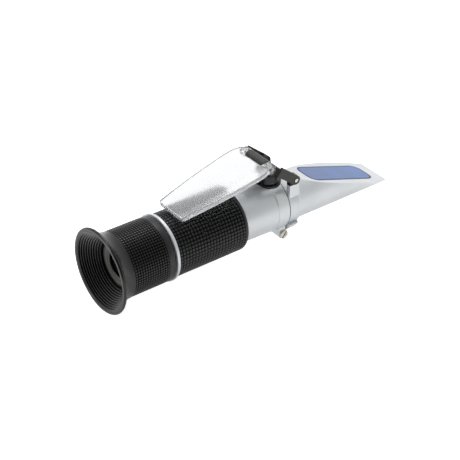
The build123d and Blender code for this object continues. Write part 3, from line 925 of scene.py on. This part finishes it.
def combine(piece, other, operation):
    """Joins another object to a piece, or cuts it away, and deletes that object."""
    bpy.ops.object.select_all(action="DESELECT")
    piece.select_set(True)
    bpy.context.view_layer.objects.active = piece
    bpy.ops.object.modifier_add(type="BOOLEAN")
    modifier = piece.modifiers[-1]
    modifier.operation = operation
    modifier.object = other
    bpy.ops.object.modifier_apply(modifier=modifier.name)
    bpy.ops.object.select_all(action="DESELECT")
    other.select_set(True)
    bpy.ops.object.delete()


# %% [markdown]
# The bore is a little wider than the pin and a little longer, so the two never touch. The
# plate is then shaded smooth, apart from its edges, and gets its frosted plastic.

# %% Daylight plate
bore_radius = 0.98 * MM
bore_past_pin = 0.05 * MM

plate_piece = plate_sheet()
for side in (-1, 1):
    combine(plate_piece, plate_ear(side), "UNION")
bore_length = 2 * (pin_high.y + bore_past_pin)
bpy.ops.mesh.primitive_cylinder_add(
    vertices=64, radius=bore_radius, depth=bore_length, location=plate_pivot, rotation=FACING_Y,
)
combine(plate_piece, bpy.context.object, "DIFFERENCE")
plate_piece.select_set(True)
bpy.context.view_layer.objects.active = plate_piece
bpy.ops.object.shade_smooth_by_angle(angle=math.radians(30))
plate_piece.data.materials.clear()
plate_piece.data.materials.append(plate_plastic)
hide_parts("daylight_plate")
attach(plate_piece, "plate")
print("plate faces", len(plate_piece.data.polygons))

# %% [markdown]
# The object lies on a seamless white table under soft light. The floor touches the lowest
# point of the rim. More light would make it white, but would wash out the object. So the floor
# gets a little light of its own: enough to look white to the camera and to keep only the
# closest part of the shadow, and less towards the object and its reflections.

# %% Floor
floor_size = 3.0
floor_place = (0.08, 0, cad_box[0].z)
glow_to_camera = 0.9
glow_to_object = 0.27
white = (1, 1, 1, 1)

bpy.ops.object.select_all(action="DESELECT")
bpy.ops.mesh.primitive_plane_add(size=floor_size, location=floor_place)
floor = bpy.context.object
floor.name = "floor"
floor_material = bpy.data.materials.new("white_table")
floor_material.use_nodes = True
table = floor_material.node_tree
table.nodes.clear()
matt = add(table, "ShaderNodeBsdfDiffuse", Color=paint("#f4f4f4"))
bright = add(table, "ShaderNodeEmission", Color=white, Strength=glow_to_camera)
faint = add(table, "ShaderNodeEmission", Color=white, Strength=glow_to_object)
seen = add(table, "ShaderNodeAddShader", _0=matt, _1=bright)
lit = add(table, "ShaderNodeAddShader", _0=matt, _1=faint)
to_camera = add(table, "ShaderNodeLightPath").outputs["Is Camera Ray"]
mixed = add(table, "ShaderNodeMixShader", _0=to_camera, _1=lit, _2=seen)
add(table, "ShaderNodeOutputMaterial", Surface=mixed)
floor.data.materials.append(floor_material)
print("floor at", round(floor_place[2], 4))

# %% [markdown]
# The picture was taken in a white studio with a darker side behind the camera. That dark side
# is what makes rubber look deep black and gives the grey lacquer its middle tone, while the
# bright walls draw the highlights along every edge. A plain white world would flatten all of
# it. So the world here is bright all round and falls off smoothly towards one fixed direction,
# and the camera itself sees plain white.

# %% World
room_bright = 0.92
room_dark = 0.07
dark_side = (-0.51, -0.66, 0.55)
falloff_start = 0.1
falloff_end = 0.95

scene = bpy.context.scene
scene.view_settings.view_transform = "Standard"
scene.world = bpy.data.worlds.new("white_room")
scene.world.use_nodes = True
room = scene.world.node_tree
room.nodes.clear()
looking = add(room, "ShaderNodeTexCoord").outputs["Generated"]
toward = add(room, "ShaderNodeVectorMath", {"operation": "DOT_PRODUCT"}, _0=looking, _1=dark_side)
level = add(
    room, "ShaderNodeMapRange", {"interpolation_type": "SMOOTHSTEP"}, Value=toward.outputs["Value"],
    From_Min=falloff_start, From_Max=falloff_end, To_Min=room_bright, To_Max=room_dark,
)
soft = add(room, "ShaderNodeBackground", Color=white, Strength=level)
plain = add(room, "ShaderNodeBackground", Color=white, Strength=1.0)
to_camera = add(room, "ShaderNodeLightPath").outputs["Is Camera Ray"]
walls = add(room, "ShaderNodeMixShader", _0=to_camera, _1=soft, _2=plain)
add(room, "ShaderNodeOutputWorld", Surface=walls)
print("room from", room_dark, "to", room_bright)

# %% [markdown]
# Two large soft boxes add a little shape to that even light: one overhead for the tops of the
# sleeves, and a smaller one on the left for the eyecup's rim. Area lamps give the soft-edged
# shadows of such boxes, which a point lamp can't.

# %% Lamps
def soft_lamp(name, place, aim, size, power):
    """A square soft box at a place, facing a point."""
    data = bpy.data.lights.new(name, "AREA")
    data.shape = "SQUARE"
    data.size = size
    data.energy = power
    lamp = bpy.data.objects.new(name, data)
    bpy.context.collection.objects.link(lamp)
    lamp.location = place
    lamp.rotation_mode = "QUATERNION"
    lamp.rotation_quaternion = (Vector(aim) - Vector(place)).to_track_quat("-Z", "Y")


soft_lamp("overhead_box", place=(0.1, 0.25, 0.7), aim=(0.08, 0, 0), size=0.5, power=2.4)
soft_lamp("left_box", place=(-0.6, 0.15, 0.35), aim=(0.02, 0, 0), size=0.25, power=1.4)
print("lamps ready")
